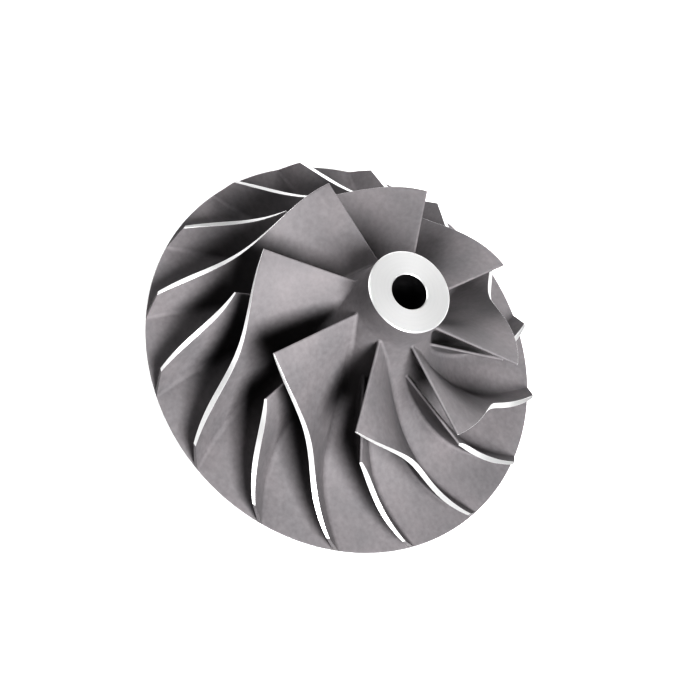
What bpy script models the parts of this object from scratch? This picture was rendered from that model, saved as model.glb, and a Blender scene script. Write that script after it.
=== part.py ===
"""Centrifugal compressor wheel, one aluminium casting turned to size.

A turned hub with a nose, a thin back disc and a through bore carries eight full blades and eight
splitter blades. The wheel stands on its back boss, with the origin at the centre of that face and +Z
along the bore towards the nose. Seen from the nose the blades run anticlockwise from their leading
edges to the rim. Lengths are in metres, angles in degrees.
"""

from math import comb, radians

import bpy
import numpy as np

# Turned sizes. Heights of the nose, hub and shroud count from the back edge of the rim.
RIM_RADIUS = 0.0470
RIM_THICKNESS = 0.00065
BORE_RADIUS = 0.0040
EDGE_CHAMFER = 0.00025
NOSE_RADIUS = 0.0094
NOSE_HEIGHT = 0.0380

# Back of the disc, and the boss that the wheel stands on
BACK_HEIGHT = 0.0060
BACK_BEND = (0.0290, 0.0050)
BOSS_RADIUS = 0.0120
BOSS_HEIGHT = 0.0014
BOSS_FILLET = 0.0006

# Half sections of the hub and of the blade tips: Bezier points (radius, height), nose end first
HUB_CURVE = ((0.0098, 0.0306), (0.0151, 0.0076), (0.0264, RIM_THICKNESS), (RIM_RADIUS, RIM_THICKNESS))
SHROUD_CURVE = ((0.0310, 0.0288), (0.0302, 0.0214), (0.0313, 0.0105), (0.0463, 0.0053))

# Bezier points of a blade's angle round the bore along those curves, from its tip at the rim
HUB_WRAP = (-61.7, 4.2, -18.0, -4.6, 4.6)
SHROUD_WRAP = (-54.8, -15.8, -16.4, 0.0)

# Blades. A splitter follows a full blade's form, but starts part of the way along both curves.
FULL_BLADES = 8
SPLITTER_HUB_START = 0.18
SPLITTER_SHROUD_START = 0.45
LEADING_THICKNESS = 0.0006
TIP_THICKNESS = 0.0012
ROOT_THICKNESS = 0.0019
THICKENING_LENGTH = 0.0080
TAPER_START = 0.78
TRAILING_TAPER = 0.5
ROOT_FILLET = (0.0005, 0.0015, 0.0013, 0.0005)
ROOT_SINK = 0.0004
TRAILING_EDGE_SETBACK = 0.00015

# Fineness of the mesh
TURNED_STEPS = 48
HUB_STEPS = 8
BACK_STEPS = 3
FULL_BLADE_STEPS = 10
SPLITTER_STEPS = 7
SPAN_STEPS = 2
FILLET_SHARES = (0.15, 1.0)
PAST_THE_RIM = 0.12
TRACE_STEPS = 241
SHARP_ANGLE = 32


def clear_scene():
    for obj in list(bpy.data.objects):
        bpy.data.objects.remove(obj, do_unlink=True)


def cast_aluminium():
    """Bead-blasted cast aluminium, a satin mid grey."""
    material = bpy.data.materials.new("cast_aluminium")
    material.use_nodes = True
    shader = material.node_tree.nodes["Principled BSDF"]
    shader.inputs["Base Color"].default_value = (0.42, 0.40, 0.40, 1.0)
    shader.inputs["Metallic"].default_value = 0.75
    shader.inputs["Roughness"].default_value = 0.5
    return material


def bezier(points, share):
    """The Bezier curve of any degree through its control points, at the given shares of its way."""
    points = np.asarray(points, float)
    share = np.asarray(share, float)
    degree = len(points) - 1
    weights = [comb(degree, k) * (1 - share) ** (degree - k) * share**k for k in range(degree + 1)]
    return np.tensordot(np.stack(weights, axis=-1), points, axes=1)


def add_object(name, points, edges, faces):
    mesh = bpy.data.meshes.new(name)
    mesh.from_pydata([tuple(map(float, point)) for point in points], edges, faces)
    obj = bpy.data.objects.new(name, mesh)
    bpy.context.scene.collection.objects.link(obj)
    return obj


def turned_profile():
    """Half section of the hub as (radius, height): down its outside, along the back and up the bore."""
    top = BACK_HEIGHT + NOSE_HEIGHT
    nose = [
        (BORE_RADIUS + EDGE_CHAMFER, top),
        (NOSE_RADIUS - EDGE_CHAMFER, top),
        (NOSE_RADIUS, top - EDGE_CHAMFER),
    ]
    hub = bezier(HUB_CURVE, np.linspace(0, 1, HUB_STEPS + 1)) + (0, BACK_HEIGHT)
    back_ends = (RIM_RADIUS, BACK_HEIGHT), (BOSS_RADIUS + BOSS_FILLET, BOSS_HEIGHT)
    back = bezier((back_ends[0], BACK_BEND, back_ends[1]), np.linspace(0, 1, BACK_STEPS + 1))
    boss = [
        (BOSS_RADIUS, BOSS_HEIGHT - BOSS_FILLET),
        (BOSS_RADIUS, EDGE_CHAMFER),
        (BOSS_RADIUS - EDGE_CHAMFER, 0),
        (BORE_RADIUS + EDGE_CHAMFER, 0),
    ]
    bore = [(BORE_RADIUS, EDGE_CHAMFER), (BORE_RADIUS, top - EDGE_CHAMFER)]
    return nose + hub.tolist() + back.tolist() + boss + bore


def turned_hub():
    """The hub and back disc, turned from their half section round the bore."""
    profile = turned_profile()
    points = [(radius, 0.0, height) for radius, height in profile]
    edges = [(i, (i + 1) % len(profile)) for i in range(len(profile))]
    hub = add_object("wheel", points, edges, [])
    turn = hub.modifiers.new("turn", "SCREW")
    turn.steps = TURNED_STEPS
    turn.render_steps = TURNED_STEPS
    return hub


def on_curve(curve, wrap, share):
    """Points of a blade's middle line on the hub curve or on the shroud curve."""
    radius, height = bezier(curve, share).T
    angle = np.radians(bezier(wrap, share))
    return np.stack((radius * np.cos(angle), radius * np.sin(angle), height), axis=-1)


def trailing_edge_radius(height):
    """The turned trailing edge leans in from the rim to the blade's tip."""
    tip_radius, tip_height = SHROUD_CURVE[-1]
    lean = np.clip((height - RIM_THICKNESS) / (tip_height - RIM_THICKNESS), 0, 1)
    return RIM_RADIUS - TRAILING_EDGE_SETBACK + (tip_radius - RIM_RADIUS) * lean


def flank_row(middle, side, full_thickness, flare, steps):
    """A row of the middle surface, moved out to one flank and cut off at the trailing edge.

    The blade thickens along the flow from its leading edge, and the flare of the root fillet adds to
    it. The row moves at right angles to the flow, within the surface that it makes when it is turned
    round the bore. Returns radius, angle and height at evenly spaced steps.
    """
    x, y, height = middle.T
    radius, angle = np.hypot(x, y), np.arctan2(y, x)
    rise, climb, swing = np.gradient(radius), np.gradient(height), radius * np.gradient(angle)
    along = np.hypot(rise, climb)
    flow = np.hypot(along, swing)
    distance = np.cumsum(flow) - flow[0]
    thickening = 1 - (1 - np.clip(distance / THICKENING_LENGTH, 0, 1)) ** 2
    thickness = LEADING_THICKNESS + (full_thickness - LEADING_THICKNESS) * thickening
    shift = side * (thickness / 2 + flare)
    angle = angle + shift * along / flow / radius
    radius = radius - shift * swing / flow * rise / along
    height = height - shift * swing / flow * climb / along
    room = trailing_edge_radius(height) - radius
    last = np.argmax(room < 0) - 1
    columns = np.linspace(0, last + room[last] / (room[last] - room[last + 1]), steps + 1)
    return [np.interp(columns, np.arange(len(radius)), values) for values in (radius, angle, height)]


def blade_side(side, hub_start, shroud_start, steps):
    """One flank of a blade, as rows from root to tip of (radius, angle, height).

    The middle surface is ruled: straight lines join the hub curve to the shroud curve. The first
    row is sunk into the hub, and the next ones round out the fillet at the root. Over the last part
    of the way the blade tapers to a thin trailing edge.
    """
    trace = np.linspace(0, 1 + PAST_THE_RIM, TRACE_STEPS)
    hub_share = hub_start + (1 - hub_start) * trace
    shroud_share = shroud_start + (1 - shroud_start) * trace
    root = on_curve(HUB_CURVE, HUB_WRAP, hub_share)
    span_line = on_curve(SHROUD_CURVE, SHROUD_WRAP, shroud_share) - root
    blade_height = np.linalg.norm(span_line, axis=-1)
    fillet = bezier(ROOT_FILLET, np.clip(trace, 0, 1))
    fillet_top = fillet / blade_height
    past_start = np.clip((shroud_share - TAPER_START) / (1 - TAPER_START), 0, 1)
    taper = 1 - (1 - TRAILING_TAPER) * past_start**2

    heights = [(-ROOT_SINK / blade_height, 1.0)]
    heights += [(share * fillet_top, 1 - np.sqrt(1 - (1 - share) ** 2)) for share in FILLET_SHARES]
    heights += [(fillet_top + (1 - fillet_top) * k / SPAN_STEPS, 0.0) for k in range(1, SPAN_STEPS + 1)]
    rows = []
    for span, flare in heights:
        middle = root + span_line * span[:, None]
        full_thickness = ROOT_THICKNESS + (TIP_THICKNESS - ROOT_THICKNESS) * np.clip(span, 0, 1)
        rows.append(flank_row(middle, side, full_thickness * taper, fillet * flare, steps))
    return np.moveaxis(np.array(rows), 1, 0)


def blade(turn, hub_start, shroud_start, steps):
    """Points and faces of one closed blade, turned round the bore by an angle."""
    points = []
    for side in (-1, 1):
        radius, angle, height = blade_side(side, hub_start, shroud_start, steps)
        angle = angle + radians(turn)
        flank = (radius * np.cos(angle), radius * np.sin(angle), height + BACK_HEIGHT)
        points.append(np.stack(flank, axis=-1).reshape(-1, 3))
    rows, columns = radius.shape
    far = rows * columns
    index = np.arange(far).reshape(rows, columns)
    quads = np.stack((index[:-1, :-1], index[:-1, 1:], index[1:, 1:], index[1:, :-1]), axis=-1).reshape(-1, 4)
    outline = [*index[0, :], *index[1:, -1], *index[-1, -2::-1], *index[-2:0:-1, 0]]
    faces = [*map(tuple, quads.tolist()), *map(tuple, (quads[:, ::-1] + far).tolist())]
    for a, b in zip(outline, outline[1:] + outline[:1]):
        faces.append((int(b), int(a), int(a + far), int(b + far)))
    return np.concatenate(points), faces


def blade_ring():
    """All the blades in one helper mesh, as closed bodies that don't touch each other."""
    pitch = 360 / FULL_BLADES
    points, faces = [], []
    for number in range(FULL_BLADES):
        for new_points, new_faces in (
            blade(number * pitch, 0.0, 0.0, FULL_BLADE_STEPS),
            blade((number + 0.5) * pitch, SPLITTER_HUB_START, SPLITTER_SHROUD_START, SPLITTER_STEPS),
        ):
            first = len(points)
            points.extend(new_points)
            faces.extend(tuple(first + corner for corner in face) for face in new_faces)
    ring = add_object("blade_ring", points, [], faces)
    ring.hide_render = True
    ring.display_type = "WIRE"
    return ring


def cast_in_one(hub, ring):
    """Joins the blades to the hub as one solid, smooth but for its real edges."""
    join = hub.modifiers.new("cast_in_one", "BOOLEAN")
    join.operation = "UNION"
    join.object = ring
    bpy.context.view_layer.update()
    evaluated = hub.evaluated_get(bpy.context.evaluated_depsgraph_get())
    hub.data = bpy.data.meshes.new_from_object(evaluated)
    hub.modifiers.clear()
    bpy.data.objects.remove(ring, do_unlink=True)
    hub.data.shade_smooth()
    hub.data.set_sharp_from_angle(angle=radians(SHARP_ANGLE))


def main():
    clear_scene()
    wheel = turned_hub()
    cast_in_one(wheel, blade_ring())
    wheel.data.materials.clear()
    wheel.data.materials.append(cast_aluminium())


main()
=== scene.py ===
# %% [markdown]
# # A cast and turned compressor wheel
#
# The real wheel is one aluminium casting. Its blades and hub keep the grey, bead-blasted skin of the mould,
# while a lathe has cut the nose face, the blade tips, the rim and the back to size and left them bright.
# This lesson builds those surfaces finely round the imported solid, which stays the wheel's collision shape.
# The first cell loads that solid as a fixed frame, with a helper that reads its box.

# %% Load the imported wheel
from math import comb, cos, degrees, pi, radians, sin

import bpy
import numpy as np
from mathutils import Matrix, Vector


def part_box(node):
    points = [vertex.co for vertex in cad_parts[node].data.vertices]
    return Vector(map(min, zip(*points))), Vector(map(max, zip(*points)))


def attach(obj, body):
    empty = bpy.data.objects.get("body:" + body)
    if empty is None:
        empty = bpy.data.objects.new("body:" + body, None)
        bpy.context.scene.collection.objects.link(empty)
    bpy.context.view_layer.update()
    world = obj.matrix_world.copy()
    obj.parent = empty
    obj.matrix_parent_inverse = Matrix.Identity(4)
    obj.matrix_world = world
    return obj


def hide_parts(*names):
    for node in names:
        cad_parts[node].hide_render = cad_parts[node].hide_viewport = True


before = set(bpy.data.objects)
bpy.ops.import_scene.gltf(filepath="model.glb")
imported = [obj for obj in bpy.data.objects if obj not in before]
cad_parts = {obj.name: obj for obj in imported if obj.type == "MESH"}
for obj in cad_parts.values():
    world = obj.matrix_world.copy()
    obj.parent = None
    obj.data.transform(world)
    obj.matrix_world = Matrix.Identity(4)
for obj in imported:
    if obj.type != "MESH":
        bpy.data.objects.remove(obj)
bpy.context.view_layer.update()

# %% [markdown]
# The rim and the overall height are read from the frame, so the fine wheel can't drift away from the solid.
# The other sizes are the driving dimensions of the same wheel, in metres. Everything that counts from the
# back edge of the rim is raised by the height of the back, because the wheel stands on its back boss.

# %% Driving dimensions of the wheel
_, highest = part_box("wheel")
RIM_RADIUS = highest.x
NOSE_TOP = highest.z

BACK_HEIGHT = 0.0060
RIM_THICKNESS = 0.00065
NOSE_RADIUS = 0.0094
BORE_RADIUS = 0.0040
EDGE_CHAMFER = 0.00025
BOSS_RADIUS = 0.0120
BOSS_HEIGHT = 0.0014
BOSS_FILLET = 0.0006
BACK_BEND = (0.0290, 0.0050)
RIM_TOP = BACK_HEIGHT + RIM_THICKNESS
print("rim radius", round(RIM_RADIUS * 1000, 2), "mm, nose face at", round(NOSE_TOP * 1000, 2), "mm")

# %% [markdown]
# A compressor wheel's hub and blade tips are smooth curves with no arcs in them, so each is drawn with a few
# Bezier control points. One short function evaluates a Bezier curve of any degree for a whole array at once.

# %% Bezier curves for whole arrays
def bezier(points, share):
    """Points of a Bezier curve at the given shares of its way.

    Each control point is weighted with its Bernstein polynomial: n over k, times the share to the power k,
    times what is left of the share to the power n minus k.
    """
    points = np.asarray(points, float).reshape(len(points), -1)
    share = np.asarray(share, float)[..., None]
    degree = len(points) - 1
    return sum(
        comb(degree, k) * share**k * (1 - share) ** (degree - k) * points[k]
        for k in range(degree + 1)
    )


print("halfway along an arch one high:", bezier(((0, 0), (0.5, 2), (1, 0)), 0.5).tolist())

# %% [markdown]
# ## Camera
#
# The wheel was photographed from above its nose with the camera rolled, so the bore leans to the upper right
# in the picture. The wheel itself stays upright here, and the camera does the leaning. It looks along a fixed
# direction and is slid sideways until the wheel sits where it does in the picture.

# %% Camera at the picture's angle
PICTURE_SIDE = 700
FOCAL_PIXELS = 1967.5
RIM_CENTRE_PIXEL = (342.3, 354.8)
CAMERA_AZIMUTH = radians(9.196)
CAMERA_ELEVATION = radians(58.695)
CAMERA_ROLL = radians(46.881)
CAMERA_DISTANCE = 9.5606 * RIM_RADIUS
SENSOR_MM = 36
NEAREST, FARTHEST = 0.01, 20


def aim_camera():
    """A camera whose axes are the viewing direction, turned by the roll, and slid in its own plane."""
    level_right = Vector((cos(CAMERA_AZIMUTH), sin(CAMERA_AZIMUTH), 0))
    back = Vector((
        sin(CAMERA_AZIMUTH) * cos(CAMERA_ELEVATION),
        -cos(CAMERA_AZIMUTH) * cos(CAMERA_ELEVATION),
        sin(CAMERA_ELEVATION),
    ))
    level_up = back.cross(level_right)
    right = cos(CAMERA_ROLL) * level_right + sin(CAMERA_ROLL) * level_up
    up = cos(CAMERA_ROLL) * level_up - sin(CAMERA_ROLL) * level_right
    metres_per_pixel = CAMERA_DISTANCE / FOCAL_PIXELS
    slide_right = (RIM_CENTRE_PIXEL[0] - PICTURE_SIDE / 2) * metres_per_pixel
    slide_up = (PICTURE_SIDE / 2 - RIM_CENTRE_PIXEL[1]) * metres_per_pixel
    place = Vector((0, 0, BACK_HEIGHT)) + back * CAMERA_DISTANCE - right * slide_right - up * slide_up
    data = bpy.data.cameras.new("camera")
    data.sensor_width = SENSOR_MM
    data.lens = FOCAL_PIXELS / PICTURE_SIDE * SENSOR_MM
    data.clip_start, data.clip_end = NEAREST, FARTHEST
    camera = bpy.data.objects.new("camera", data)
    bpy.context.scene.collection.objects.link(camera)
    axes = Matrix((right, up, back)).transposed().to_4x4()
    camera.matrix_world = Matrix.Translation(place) @ axes
    bpy.context.scene.camera = camera
    return camera


camera = aim_camera()
print("lens", round(camera.data.lens, 1), "mm at", round(camera.location.length, 3), "m")

# %% [markdown]
# ## Node helper
#
# Every finish below is a small node tree. This helper adds a node, sets its options and fills its sockets:
# a value that is another node's output is linked, and any other value is typed in.

# %% Helper for node trees
def node(tree, kind, inputs=(), **options):
    """Adds a node and returns it. inputs maps socket names or numbers to a value or to an output socket."""
    made = tree.nodes.new(kind)
    for name, value in options.items():
        setattr(made, name, value)
    for socket, value in dict(inputs).items():
        if isinstance(value, bpy.types.NodeSocket):
            tree.links.new(value, made.inputs[socket])
        else:
            made.inputs[socket].default_value = value
    return made


def new_finish(name):
    """A new material with its node tree, its Principled shader and the object coordinates."""
    material = bpy.data.materials.new(name)
    material.use_nodes = True
    tree = material.node_tree
    place = node(tree, "ShaderNodeTexCoord").outputs["Object"]
    return material, tree, tree.nodes["Principled BSDF"], place


def noise(tree, place, grain, detail=2.0, dimensions="3D", socket="Vector"):
    """Noise whose blotches are about as wide as the grain, in metres."""
    return node(
        tree, "ShaderNodeTexNoise",
        {socket: place, "Scale": 1 / grain, "Detail": detail},
        noise_dimensions=dimensions,
    ).outputs["Fac"]


def spread(tree, value, low, high, limits=(0.3, 0.7)):
    """Maps a noise value from its usual limits to the range between low and high."""
    return node(
        tree, "ShaderNodeMapRange",
        {"Value": value, "From Min": limits[0], "From Max": limits[1], "To Min": low, "To Max": high},
    ).outputs["Result"]


MIX_FACTOR, MIX_A, MIX_B, MIX_RESULT = 0, 6, 7, 2


def blend_colours(tree, share, first, second):
    """Mixes two colours by a share from 0 to 1."""
    inputs = {MIX_FACTOR: share, MIX_A: first, MIX_B: second}
    return node(tree, "ShaderNodeMix", inputs, data_type="RGBA").outputs[MIX_RESULT]


print("node helpers:", ", ".join(f.__name__ for f in (node, new_finish, noise, spread, blend_colours)))

# %% [markdown]
# ## Cast finish
#
# The skin of the casting was blasted with fine beads, so it scatters light almost like dull paint and only a
# little of it like metal. It has a fine even grain, and faint patches where it is a little lighter or warmer.
# All of it comes from noise on object coordinates, at three sizes: the grain, the blotches and the patches.
# The gloss is kept low, because a blade seen edge on would otherwise flare up white.

# %% Cast aluminium
GRAIN = 0.00016
BLOTCH = 0.0011
PATCH = 0.009
CAST_COOL = (0.173, 0.167, 0.172, 1)
CAST_WARM = (0.203, 0.192, 0.197, 1)
BLOTCH_SHADE = (0.91, 1.08)
CAST_METALLIC = 0.2
CAST_SPECULAR = 0.25
CAST_ROUGHNESS = (0.66, 0.76)
GRAIN_HEIGHT = 0.000015


def cast_aluminium():
    """Colour is the patches' blend times the blotches, and the grain is a faint bump."""
    material, tree, shader, place = new_finish("cast_skin")
    patches = spread(tree, noise(tree, place, PATCH, 3), 0, 1)
    colour = blend_colours(tree, patches, CAST_COOL, CAST_WARM)
    blotches = spread(tree, noise(tree, place, BLOTCH, 4), *BLOTCH_SHADE)
    shaded = node(tree, "ShaderNodeVectorMath", {0: colour, 1: blotches}, operation="MULTIPLY")
    tree.links.new(shaded.outputs[0], shader.inputs["Base Color"])
    shader.inputs["Metallic"].default_value = CAST_METALLIC
    shader.inputs["Specular IOR Level"].default_value = CAST_SPECULAR
    roughness = spread(tree, noise(tree, place, BLOTCH, 3), *CAST_ROUGHNESS)
    tree.links.new(roughness, shader.inputs["Roughness"])
    grain = noise(tree, place, GRAIN, 3)
    bump = node(tree, "ShaderNodeBump", {"Height": grain, "Distance": GRAIN_HEIGHT, "Strength": 1.0})
    tree.links.new(bump.outputs["Normal"], shader.inputs["Normal"])
    return material


print("grain, blotches and patches in mm:", [round(size * 1000, 2) for size in (GRAIN, BLOTCH, PATCH)])

# %% [markdown]
# ## Turned finish
#
# A lathe leaves fine rings round the axis, which stretch every reflection across them. So the shader is
# anisotropic, and its tangent runs round the bore: the cross product of the axis and the place on the part.
# The shader stretches reflections along its tangent, so a quarter turn makes that across the rings.
# The rings themselves are noise along one number, the distance from the axis less the height. It grows
# steadily along the nose, the blade tips, the rim and the back, so one formula serves every turned surface.
# The marks are finer than the eye sees, so they also scatter a part of the light like a matt surface.

# %% Turned aluminium
FEED_MARK = 0.00009
WAVER = 0.0006
TURNED_LIGHT = (0.58, 0.58, 0.58, 1)
TURNED_DULL = (0.565, 0.565, 0.565, 1)
TURNED_METALLIC = 0.6
TURNED_ROUGHNESS = (0.40, 0.43)
MARK_HEIGHT = 0.0000005
MARK_STRENGTH = 0.6
TURNED_ANISOTROPY = 0.2
QUARTER_TURN = 0.25


def tool_travel(tree, place):
    """Distance from the axis less the height: the same all round a ring, different on each ring."""
    across = node(tree, "ShaderNodeVectorMath", {0: place, 1: (1, 1, 0)}, operation="MULTIPLY").outputs[0]
    radius = node(tree, "ShaderNodeVectorMath", {0: across}, operation="LENGTH").outputs["Value"]
    height = node(tree, "ShaderNodeSeparateXYZ", {0: place}).outputs["Z"]
    return node(tree, "ShaderNodeMath", {0: radius, 1: height}, operation="SUBTRACT").outputs[0]


def round_the_bore(tree, place):
    """The direction of the lathe marks, in world space so that it turns with the wheel."""
    tangent = node(tree, "ShaderNodeVectorMath", {0: (0, 0, 1), 1: place}, operation="CROSS_PRODUCT")
    return node(
        tree, "ShaderNodeVectorTransform", {0: tangent.outputs[0]},
        vector_type="VECTOR", convert_from="OBJECT", convert_to="WORLD",
    ).outputs[0]


def turned_aluminium():
    """Colour, roughness and bump all follow the tool's travel, so each ring is the same all round."""
    material, tree, shader, place = new_finish("turned_aluminium")
    travel = tool_travel(tree, place)
    waver = noise(tree, travel, WAVER, 3, "1D", "W")
    colour = blend_colours(tree, spread(tree, waver, 0, 1), TURNED_LIGHT, TURNED_DULL)
    tree.links.new(colour, shader.inputs["Base Color"])
    shader.inputs["Metallic"].default_value = TURNED_METALLIC
    tree.links.new(spread(tree, waver, *TURNED_ROUGHNESS), shader.inputs["Roughness"])
    shader.inputs["Anisotropic"].default_value = TURNED_ANISOTROPY
    shader.inputs["Anisotropic Rotation"].default_value = QUARTER_TURN
    tree.links.new(round_the_bore(tree, place), shader.inputs["Tangent"])
    marks = noise(tree, travel, FEED_MARK, 1, "1D", "W")
    relief = {"Height": marks, "Distance": MARK_HEIGHT, "Strength": MARK_STRENGTH}
    bump = node(tree, "ShaderNodeBump", relief)
    tree.links.new(bump.outputs["Normal"], shader.inputs["Normal"])
    return material


print("lathe marks and their wavering rings in mm:", [round(size * 1000, 2) for size in (FEED_MARK, WAVER)])

# %% [markdown]
# ## Bore and the three finishes
#
# The bore is reamed for its shaft. Its colour is painted nearly black as the shade of the deep hole, so it
# looks almost black from outside.

# %% Reamed bore
# The two nearly black tones are painted shade of the deep hole, not the colour of the reamed metal.
BORE_SHADE_DARK = (0.030, 0.030, 0.032, 1)
BORE_SHADE_LIGHT = (0.060, 0.058, 0.060, 1)
BORE_METALLIC = 0.6
BORE_ROUGHNESS = (0.35, 0.5)


def reamed_bore_painted_shade():
    """One noise blends the colour, painted nearly black as shade, and the roughness."""
    material, tree, shader, place = new_finish("reamed_bore_painted_shade")
    bore_mottle = spread(tree, noise(tree, place, BLOTCH, 3), 0, 1)
    tree.links.new(blend_colours(tree, bore_mottle, BORE_SHADE_DARK, BORE_SHADE_LIGHT), shader.inputs["Base Color"])
    shader.inputs["Metallic"].default_value = BORE_METALLIC
    tree.links.new(spread(tree, bore_mottle, *BORE_ROUGHNESS, (0, 1)), shader.inputs["Roughness"])
    return material


CAST, TURNED, BORE = 0, 1, 2
finishes = [cast_aluminium(), turned_aluminium(), reamed_bore_painted_shade()]
print("finishes:", [finish.name for finish in finishes])

# %% [markdown]
# ## From arrays to a mesh
#
# Every surface below is a grid of points worked out with numpy. Faces are rows of vertex numbers, quads and a
# few triangles, and each group of faces has a finish. One function hands these arrays to Blender in one go.
# It also does what the frame asks of a piece: it rides on the wheel's only body and stands for its solid.

# %% Helper that makes a piece
SHARP_ANGLE = radians(35)


def grid_quads(numbers):
    """Quads between the neighbouring rows and columns of a grid of vertex numbers."""
    return np.stack(
        (numbers[:-1, :-1], numbers[:-1, 1:], numbers[1:, 1:], numbers[1:, :-1]), axis=-1
    ).reshape(-1, 4)


def make_piece(name, points, groups):
    """A mesh from points and from groups of (faces, finish), smooth but for its sharp edges."""
    points = np.asarray(points, float).reshape(-1, 3)
    sizes = np.concatenate([np.full(len(faces), faces.shape[1]) for faces, _ in groups])
    corners = np.concatenate([faces.ravel() for faces, _ in groups])
    worn = np.concatenate([np.full(len(faces), finish) for faces, finish in groups])
    mesh = bpy.data.meshes.new(name)
    mesh.vertices.add(len(points))
    mesh.vertices.foreach_set("co", points.ravel())
    mesh.loops.add(len(corners))
    mesh.loops.foreach_set("vertex_index", corners)
    mesh.polygons.add(len(sizes))
    mesh.polygons.foreach_set("loop_start", np.concatenate(([0], np.cumsum(sizes)[:-1])))
    mesh.polygons.foreach_set("material_index", worn)
    mesh.update(calc_edges=True)
    mesh.validate()
    for finish in finishes:
        mesh.materials.append(finish)
    mesh.shade_smooth()
    mesh.set_sharp_from_angle(angle=SHARP_ANGLE)
    piece = bpy.data.objects.new(name, mesh)
    bpy.context.scene.collection.objects.link(piece)
    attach(piece, "root")
    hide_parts("wheel")
    return piece


def enclosed_volume(points, groups):
    """Volume in cubic millimetres by the divergence theorem. It is positive if the faces point outwards."""
    points = np.asarray(points, float).reshape(-1, 3) * 1000
    total = 0.0
    for faces, _ in groups:
        for k in range(1, faces.shape[1] - 1):
            a, b, c = points[faces[:, 0]], points[faces[:, k]], points[faces[:, k + 1]]
            total += np.einsum("ij,ij->", a, np.cross(b, c)) / 6
    return total


print("edges sharper than", round(degrees(SHARP_ANGLE)), "degrees stay crisp")

# %% [markdown]
# ## Hub and disc
#
# The hub is turned from one closed half section: the nose face, the nose and the long concave hub curve out
# to the rim, then the back of the disc, the boss and the bore. The section is a list of stretches, each with
# its finish, and the solid of revolution has no pole and no seam, because the bore makes it a ring.

# %% Half section of the hub
HUB_CURVE = (
    (0.0098, BACK_HEIGHT + 0.0306),
    (0.0151, BACK_HEIGHT + 0.0076),
    (0.0264, RIM_TOP),
    (RIM_RADIUS, RIM_TOP),
)
NOSE_BEND = (NOSE_RADIUS, BACK_HEIGHT + 0.0323)
RIM_BREAK = 0.00008
FACE_STEPS, SEAT_STEPS, BAND_STEPS = 16, 12, 2
NOSE_STEPS, HUB_STEPS, BACK_STEPS, BORE_STEPS = 16, 96, 48, 16
BREAK_STEPS, FILLET_STEPS = 3, 6


def stretch(points, steps, finish):
    """One stretch of the section, as a Bezier curve with its number of steps and its finish."""
    return bezier(points, np.linspace(0, 1, steps + 1))[:-1], finish


def hub_section():
    """The closed half section as (radius, height) points, and the finish of the ring after each point."""
    nose_edge = (NOSE_RADIUS - EDGE_CHAMFER, NOSE_TOP)
    nose_side = (NOSE_RADIUS, NOSE_TOP - EDGE_CHAMFER)
    rim_shoulder = (RIM_RADIUS - RIM_BREAK, RIM_TOP)
    rim_upper = (RIM_RADIUS, RIM_TOP - RIM_BREAK)
    rim_lower = (RIM_RADIUS, BACK_HEIGHT + RIM_BREAK)
    rim_back = (RIM_RADIUS - RIM_BREAK, BACK_HEIGHT)
    boss_root = (BOSS_RADIUS + BOSS_FILLET, BOSS_HEIGHT)
    boss_corner = (BOSS_RADIUS, BOSS_HEIGHT)
    boss_side = (BOSS_RADIUS, BOSS_HEIGHT - BOSS_FILLET)
    boss_edge = (BOSS_RADIUS, EDGE_CHAMFER)
    seat_edge = (BOSS_RADIUS - EDGE_CHAMFER, 0)
    seat_inner = (BORE_RADIUS + EDGE_CHAMFER, 0)
    bore_low = (BORE_RADIUS, EDGE_CHAMFER)
    bore_high = (BORE_RADIUS, NOSE_TOP - EDGE_CHAMFER)
    bore_lip = (BORE_RADIUS + EDGE_CHAMFER, NOSE_TOP)
    stretches = [
        stretch((bore_lip, nose_edge), FACE_STEPS, TURNED),
        stretch((nose_edge, nose_side), BAND_STEPS, TURNED),
        stretch((nose_side, NOSE_BEND, HUB_CURVE[0]), NOSE_STEPS, CAST),
        stretch((*HUB_CURVE[:3], rim_shoulder), HUB_STEPS, CAST),
        stretch((rim_shoulder, (RIM_RADIUS, RIM_TOP), rim_upper), BREAK_STEPS, TURNED),
        stretch((rim_upper, rim_lower), BAND_STEPS, TURNED),
        stretch((rim_lower, (RIM_RADIUS, BACK_HEIGHT), rim_back), BREAK_STEPS, TURNED),
        stretch((rim_back, BACK_BEND, boss_root), BACK_STEPS, TURNED),
        stretch((boss_root, boss_corner, boss_side), FILLET_STEPS, TURNED),
        stretch((boss_side, boss_edge), BAND_STEPS, TURNED),
        stretch((boss_edge, seat_edge), 1, TURNED),
        stretch((seat_edge, seat_inner), SEAT_STEPS, TURNED),
        stretch((seat_inner, bore_low), 1, TURNED),
        stretch((bore_low, bore_high), BORE_STEPS, BORE),
        stretch((bore_high, bore_lip), BAND_STEPS, TURNED),
    ]
    section = np.concatenate([points for points, _ in stretches])
    worn = np.concatenate([np.full(len(points), finish) for points, finish in stretches])
    return section, worn


print("the half section has", len(hub_section()[0]), "points")

# %% [markdown]
# The hub is that section carried round the bore. A ring of vertices is made at each angle for the whole
# section at once, and the last ring is joined to the first by number, so no two points share a place.

# %% Turn the hub
ROUND_STEPS = 320


def turned_hub():
    """The section turned round the bore: x and y are the radius times cosine and sine, z is the height."""
    section, worn = hub_section()
    angle = np.arange(ROUND_STEPS) * 2 * pi / ROUND_STEPS
    radius, height = section[:, :1], section[:, 1:]
    points = np.stack((radius * np.cos(angle), radius * np.sin(angle), height + 0 * angle), axis=-1)
    numbers = np.arange(points.shape[0] * ROUND_STEPS).reshape(-1, ROUND_STEPS)
    numbers = np.vstack((numbers, numbers[:1]))
    numbers = np.hstack((numbers, numbers[:, :1]))
    quads = grid_quads(numbers).reshape(len(worn), ROUND_STEPS, 4)[..., ::-1]
    groups = [(quads[worn == finish].reshape(-1, 4), finish) for finish in (CAST, TURNED, BORE)]
    print("hub volume", round(enclosed_volume(points, groups)), "cubic mm")
    return make_piece("hub_and_disc", points, groups)


hub = turned_hub()
print("hub and disc:", len(hub.data.polygons), "faces")

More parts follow.
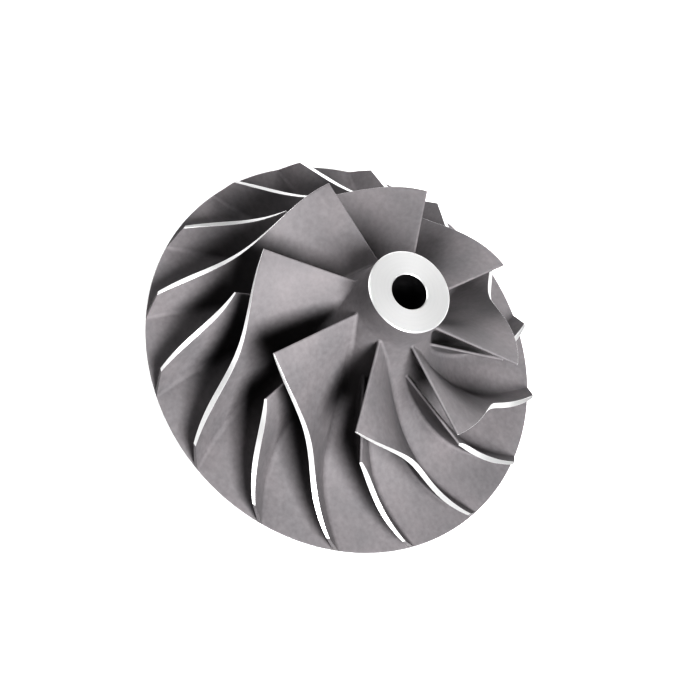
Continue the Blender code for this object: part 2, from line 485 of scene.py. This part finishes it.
# %% [markdown]
# ## Middle surface of a blade
#
# Foundry patterns for such blades are milled with the side of a cutter, so a blade is ruled: straight lines
# join the hub to the tip. Each end of the lines follows its own curve, the hub curve or the curve of the
# housing, while the angle round the bore follows a Bezier of its own. A splitter is the same blade, but its
# leading edge is cut back, so the same function serves both with another start.

# %% Middle surface
SHROUD_CURVE = (
    (0.0310, BACK_HEIGHT + 0.0288),
    (0.0302, BACK_HEIGHT + 0.0214),
    (0.0313, BACK_HEIGHT + 0.0105),
    (0.0463, BACK_HEIGHT + 0.0053),
)
HUB_WRAP = (-61.7, 4.2, -18.0, -4.6, 4.6)
SHROUD_WRAP = (-54.8, -15.8, -16.4, 0.0)


def on_curve(curve, wrap, share):
    """A point on a section curve, turned round the bore by the wrap angle at the same share."""
    radius, height = np.moveaxis(bezier(curve, share), -1, 0)
    angle = np.radians(bezier(wrap, share)[..., 0])
    return np.stack((radius * np.cos(angle), radius * np.sin(angle), height), axis=-1)


def middle_surface(share, span, starts):
    """Ruled surface: the root's point plus the span times the straight way from root to tip."""
    hub_start, shroud_start = starts
    root = on_curve(HUB_CURVE, HUB_WRAP, hub_start + (1 - hub_start) * share)
    tip = on_curve(SHROUD_CURVE, SHROUD_WRAP, shroud_start + (1 - shroud_start) * share)
    return root + (tip - root) * span[..., None]


def blade_height(share, starts):
    """Length of the straight line from root to tip."""
    none, whole = np.zeros_like(share), np.ones_like(share)
    line = middle_surface(share, whole, starts) - middle_surface(share, none, starts)
    return np.linalg.norm(line, axis=-1)


FULL_BLADE = (0.0, 0.0)
SPLITTER = (0.18, 0.45)
for label, starts in (("full blade", FULL_BLADE), ("splitter", SPLITTER)):
    ends = blade_height(np.array([0.0, 1.0]), starts) * 1000
    print(label, "is", round(ends[0], 1), "mm high at its leading edge and", round(ends[1], 1), "at the rim")

# %% [markdown]
# ## Thickness of a blade
#
# A blade is thin at its rounded leading edge and thickens over the next few millimetres. It is thicker at
# the root than at the tip, and a fillet blends it into the hub. Each flank is the middle surface moved out
# by half of that thickness, at right angles to the flow and within the surface that the row makes when it
# is turned round the bore. So the tip stays exactly on the turned surface that the lathe cuts.

# %% Flank of a blade
SMALL_STEP = 0.0005


def move_to_flank(share, span, half, side, starts):
    """Radius, angle and height of flank points: the middle surface moved sideways by half a thickness."""
    point = middle_surface(share, span, starts)
    ahead = middle_surface(share + SMALL_STEP, span, starts)
    flow = ahead - middle_surface(share - SMALL_STEP, span, starts)
    x, y, height = np.moveaxis(point, -1, 0)
    radius, angle = np.hypot(x, y), np.arctan2(y, x)
    rise = (x * flow[..., 0] + y * flow[..., 1]) / radius
    swing = (x * flow[..., 1] - y * flow[..., 0]) / radius
    climb = flow[..., 2]
    along = np.hypot(rise, climb)
    speed = np.hypot(along, swing)
    shift = side * half
    turned = angle + shift * along / speed / radius
    inwards = shift * swing / speed / along
    return radius - inwards * rise, turned, height - inwards * climb


SAMPLE_HALF = 0.0006
half_way, at_tip = np.full(1, 0.5), np.ones(1)
middle, flank = (move_to_flank(half_way, at_tip, half, 1, FULL_BLADE) for half in (0, SAMPLE_HALF))
swing = round(float(np.degrees(flank[1] - middle[1])[0]), 2)
print("at mid tip, going", round(SAMPLE_HALF * 1000, 2), "mm sideways turns the point by", swing, "degrees")

# %% [markdown]
# The sizes below were judged from the bright tips in the picture, which are about a millimetre wide.
# Castings like this keep a fillet at every root, because a sharp corner would crack as the metal cools.

# %% Sizes of the blades
LEADING_THICKNESS = 0.0006
TIP_THICKNESS = 0.0012
ROOT_THICKNESS = 0.0019
THICKENING_LENGTH = 0.0080
TAPER_START = 0.78
TRAILING_TAPER = 0.5
ROOT_FILLET = (0.0005, 0.0015, 0.0013, 0.0005)
ROOT_SINK = 0.0004
TIP_BREAK = 0.00005
TRAILING_EDGE_SETBACK = 0.00015


def fillet_radius(share):
    """Radius of the root fillet: small at both ends of the blade and largest between them."""
    return bezier(ROOT_FILLET, np.clip(share, 0, 1))[..., 0]


def full_thickness(share, span, starts):
    """Thickness away from the leading edge: it falls evenly from root to tip, and past the start of the
    taper it falls with the square of the way on, to half at the trailing edge."""
    way = starts[1] + (1 - starts[1]) * share
    past_start = np.clip((way - TAPER_START) / (1 - TAPER_START), 0, 1)
    taper = 1 - (1 - TRAILING_TAPER) * past_start**2
    return (ROOT_THICKNESS + (TIP_THICKNESS - ROOT_THICKNESS) * np.clip(span, 0, 1)) * taper


def trailing_edge_radius(height):
    """The lathe leans the trailing edge in from the rim to the blade's tip, as a cone."""
    tip_radius, tip_height = SHROUD_CURVE[-1]
    lean = np.clip((height - RIM_TOP) / (tip_height - RIM_TOP), 0, 1)
    return RIM_RADIUS - TRAILING_EDGE_SETBACK + (tip_radius - RIM_RADIUS) * lean


tip_sizes = full_thickness(np.array([0.5, 0.9, 1.0]), 1.0, FULL_BLADE) * 1000
print("tip of a full blade at half way, near the end and at the rim:", tip_sizes.round(2).tolist(), "mm")

# %% [markdown]
# ## Rows and columns of a blade
#
# Rows run along the blade and are stacked from root to tip: one is sunk into the hub, some climb the quarter
# circle of the fillet, the rest share out the flank, and the last two break the edge that the lathe leaves.
# Columns start round the leading edge, closely spaced on its small radius, and end where the row meets the
# cone of the trailing edge. That crossing is looked up on a coarse row first.

# %% Rows of a blade
FILLET_ROWS = 8
FLANK_ROWS = 26
NOSE_COLUMNS = 6
EDGE_SHARE = 0.94


def blade_rows():
    """For each row: shares of the fillet and of the flank that it climbs, its drop, flare and width."""
    turn = np.linspace(0, pi / 2, FILLET_ROWS + 1)
    flank = np.arange(1, FLANK_ROWS + 1) / FLANK_ROWS
    ones, zeros = np.ones(FLANK_ROWS), np.zeros(FLANK_ROWS)
    climb = np.concatenate(([0], 1 - np.cos(turn), ones, [1]))
    reach = np.concatenate(([0], np.zeros(FILLET_ROWS + 1), flank, [1]))
    drop = np.concatenate(([ROOT_SINK], np.zeros(FILLET_ROWS + 1), zeros, [0]))
    drop[-2] = TIP_BREAK
    flare = np.concatenate(([1], 1 - np.sin(turn), zeros, [0]))
    width = np.concatenate((np.ones(len(climb) - 1), [EDGE_SHARE]))
    return [values[:, None] for values in (climb, reach, drop, flare, width)]


def span_of_row(share, starts):
    """Share of the way from root to tip at which each row lies, for an array of shares along the flow."""
    climb, reach, drop, _, _ = blade_rows()
    height, fillet = blade_height(share, starts), fillet_radius(share)
    return (fillet * climb + (height - fillet) * reach - drop) / height


print("rows of a blade:", len(blade_rows()[0]))

# %% [markdown]
# The columns need two lengths from the blade itself: how far each row travels per share of the flow, which
# sizes the round nose, and where it crosses the cone of the trailing edge, which ends it.

# %% Columns of a blade
COARSE_COLUMNS = 121
COARSE_RANGE = (0.85, 1.12)
FINE_START = 0.45


def trailing_share(side, starts):
    """The share of the flow at which each row of a flank crosses the cone of the trailing edge."""
    _, _, _, flare, _ = blade_rows()
    share = np.linspace(*COARSE_RANGE, COARSE_COLUMNS)[None, :]
    span = span_of_row(share, starts)
    share = share + 0 * span
    half = full_thickness(share, span, starts) / 2 + fillet_radius(share) * flare
    radius, _, height = move_to_flank(share, span, half, side, starts)
    room = trailing_edge_radius(height) - radius
    last = np.argmax(room < 0, axis=1)[:, None] - 1
    before, after = np.take_along_axis(room, last, 1), np.take_along_axis(room, last + 1, 1)
    first = np.take_along_axis(share, last, 1)
    return first + (np.take_along_axis(share, last + 1, 1) - first) * before / (before - after)


def flank_points(side, columns, starts):
    """One flank as a grid of points: rows from root to tip, columns from leading to trailing edge."""
    _, _, _, flare, width = blade_rows()
    zero = np.zeros_like(flare)
    root_span = span_of_row(np.zeros((1, 1)), starts)
    ahead = middle_surface(zero + SMALL_STEP, root_span, starts)
    speed = np.linalg.norm(ahead - middle_surface(zero, root_span, starts), axis=-1) / SMALL_STEP
    extra = fillet_radius(zero) * flare
    nose = LEADING_THICKNESS / 2 + extra
    turn = np.linspace(0, pi / 2, NOSE_COLUMNS + 1)[None, :]
    nose_share = (nose * (1 - np.cos(turn)) - extra) / speed
    steps = np.arange(1, columns - NOSE_COLUMNS + 1)[None, :] / (columns - NOSE_COLUMNS)
    steps = steps * FINE_START + steps**2 * (1 - FINE_START)
    nose_end = nose_share[:, -1:]
    share = np.hstack((nose_share, nose_end + (trailing_share(side, starts) - nose_end) * steps))
    span = span_of_row(share, starts)
    middle = middle_surface(share, span, starts)
    lengths = np.linalg.norm(np.diff(middle, axis=1), axis=-1)
    distance = np.hstack((zero, np.cumsum(lengths, axis=1)))
    radius_at_edge = LEADING_THICKNESS / 2 + fillet_radius(share) * flare
    rounding = np.sqrt(radius_at_edge**2 - np.clip(radius_at_edge - distance, 0, None) ** 2)
    thickening = 1 - (1 - np.clip((distance - extra) / THICKENING_LENGTH, 0, 1)) ** 2
    half = rounding + (full_thickness(share, span, starts) - LEADING_THICKNESS) / 2 * thickening
    return move_to_flank(share, span, half * width, side, starts)


ends = [round(float(trailing_share(side, FULL_BLADE)[-1, 0]), 3) for side in (-1, 1)]
print("the two flanks of a full blade end at these shares of the flow:", ends)

# %% [markdown]
# ## Close the blade and set the ring
#
# The two flanks share their first column, at the leading edge, so a row is one line from the trailing edge
# round the nose and back. A band of quads closes the trailing edge, and caps close the sunk root and the
# tip. The tip and its broken edges are bright from the lathe, and everything else looks like the cast skin.

# %% One closed blade
FULL_COLUMNS = 120
SPLITTER_COLUMNS = 80


def cap_faces(row):
    """Quads across a row from flank to flank, and the triangle at the leading edge, facing down."""
    half = len(row) // 2
    one, other = row[:half], row[::-1][:half]
    quads = np.stack((one[:-1], one[1:], other[1:], other[:-1]), axis=-1)
    return quads, np.array([[one[-1], row[half], other[-1]]])


def closed_blade(columns, starts):
    """Radius, angle and height of a blade's points, and its faces in groups by finish."""
    near, far = flank_points(-1, columns, starts), flank_points(1, columns, starts)
    radius, angle, height = (np.hstack((a[:, ::-1], b[:, 1:])) for a, b in zip(near, far))
    numbers = np.arange(radius.size).reshape(radius.shape)
    skin = grid_quads(numbers[:-1])[:, ::-1]
    broken_edge = grid_quads(numbers[-2:])[:, ::-1]
    trailing = grid_quads(numbers[:, [0, -1]])
    root_quads, root_nose = cap_faces(numbers[0])
    tip_quads, tip_nose = cap_faces(numbers[-1])
    groups = [(skin, CAST), (root_quads, CAST), (root_nose, CAST), (broken_edge, TURNED)]
    groups += [(trailing, CAST), (tip_quads[:, ::-1], TURNED), (tip_nose[:, ::-1], TURNED)]
    return (radius, angle, height), groups


print("a full blade has", closed_blade(FULL_COLUMNS, FULL_BLADE)[0][0].size, "points")

# %% [markdown]
# The ring repeats the blade at even angles. A splitter stands half way between each two full blades, where
# the passage has grown wide enough to need another vane, and starts lower down so the inlet stays open.

# %% Set the ring of blades
BLADES = 8


def blade_ring(name, columns, starts, first_turn, count):
    """Copies of one blade at even angles round the bore, each a piece of its own."""
    (radius, angle, height), groups = closed_blade(columns, starts)
    pieces = []
    for number in range(count):
        turned = angle + radians(first_turn) + number * 2 * pi / count
        points = np.stack((radius * np.cos(turned), radius * np.sin(turned), height), axis=-1)
        pieces.append(make_piece(f"{name}_{number + 1}", points, groups))
    volume = round(enclosed_volume(points, groups))
    print(name, "has", len(pieces[0].data.polygons), "faces and", volume, "cubic mm, cut off inside the hub")
    return pieces


full_blades = blade_ring("full_blade", FULL_COLUMNS, FULL_BLADE, 0, BLADES)
splitters = blade_ring("splitter_blade", SPLITTER_COLUMNS, SPLITTER, 180 / BLADES, BLADES)
print("blades:", len(full_blades) + len(splitters))

# %% [markdown]
# ## Floor and light
#
# A wheel like this is photographed on a white sheet in a dark room with a few large soft lights, so that the
# turned metal burns out almost to white, the cast skin stays grey and the passages between the blades fall
# away to black. The sheet glows a little, which takes the shadow off it. It is hidden from diffuse rays, so it
# bounces no light into the passages, though the turned metal still mirrors it. Real light doesn't work so:
# it stands for a wheel that was cut out of its background. The sheet lies a hair below the seat, so that the
# two don't flicker where they touch.

# %% Pale floor
FLOOR_HALF = 3.0
FLOOR_DROP = 0.00002
FLOOR_GLOW = 0.3
FLOOR_DULL = (0.88, 0.88, 0.88, 1)
FLOOR_LIGHT = (0.90, 0.90, 0.90, 1)
FLOOR_MOTTLE = 0.05
FLOOR_ROUGHNESS = 0.9


def pale_floor():
    """A square sheet in two pale tones, hidden from diffuse rays only."""
    mesh = bpy.data.meshes.new("floor")
    signs = ((-1, -1), (1, -1), (1, 1), (-1, 1))
    corners = [(x * FLOOR_HALF, y * FLOOR_HALF, -FLOOR_DROP) for x, y in signs]
    mesh.from_pydata(corners, [], [(0, 1, 2, 3)])
    floor = bpy.data.objects.new("floor", mesh)
    bpy.context.scene.collection.objects.link(floor)
    material, tree, shader, place = new_finish("floor_sheet")
    mottle = spread(tree, noise(tree, place, FLOOR_MOTTLE), 0, 1)
    colour = blend_colours(tree, mottle, FLOOR_DULL, FLOOR_LIGHT)
    tree.links.new(colour, shader.inputs["Base Color"])
    tree.links.new(colour, shader.inputs["Emission Color"])
    shader.inputs["Emission Strength"].default_value = FLOOR_GLOW
    shader.inputs["Roughness"].default_value = FLOOR_ROUGHNESS
    mesh.materials.append(material)
    floor.visible_diffuse = False
    return floor


floor = pale_floor()
print("floor sheet", round(floor.dimensions.x, 1), "m wide")

# %% [markdown]
# The key light stands high on the camera's right, a weaker one lights the wheel from the left, and a low one
# from behind draws the edges. Large lights close by give the shadows soft ends. The Standard view with very
# high contrast makes the tones of a product picture: turned metal near white, deep passages near black.

# %% Soft studio light
ROOM_BRIGHTNESS = 0.01
LIGHT_DISTANCE = 1.0
STUDIO_LIGHTS = {
    "key_light": (65, 50, 0.45, 16.4),
    "left_light": (298, 34, 0.6, 4.5),
    "rear_light": (210, 20, 0.7, 5.5),
}


def dim_room():
    """An even, nearly dark world."""
    world = bpy.data.worlds.new("room")
    world.use_nodes = True
    background = world.node_tree.nodes["Background"]
    background.inputs["Color"].default_value = (1, 1, 1, 1)
    background.inputs["Strength"].default_value = ROOM_BRIGHTNESS
    bpy.context.scene.world = world


def soft_light(name, azimuth, elevation, side, watts):
    """A square light that faces the wheel from a direction given in degrees round it and above it."""
    turn, lift = radians(azimuth), radians(elevation)
    towards = Vector((sin(turn) * cos(lift), -cos(turn) * cos(lift), sin(lift)))
    data = bpy.data.lights.new(name, "AREA")
    data.size = side
    data.energy = watts
    light = bpy.data.objects.new(name, data)
    light.location = towards * LIGHT_DISTANCE
    light.rotation_euler = towards.to_track_quat("Z", "Y").to_euler()
    bpy.context.scene.collection.objects.link(light)
    return light


dim_room()
for name, (azimuth, elevation, side, watts) in STUDIO_LIGHTS.items():
    soft_light(name, azimuth, elevation, side, watts)
bpy.context.scene.view_settings.view_transform = "Standard"
bpy.context.scene.view_settings.look = "Very High Contrast"
print("lights:", ", ".join(STUDIO_LIGHTS))
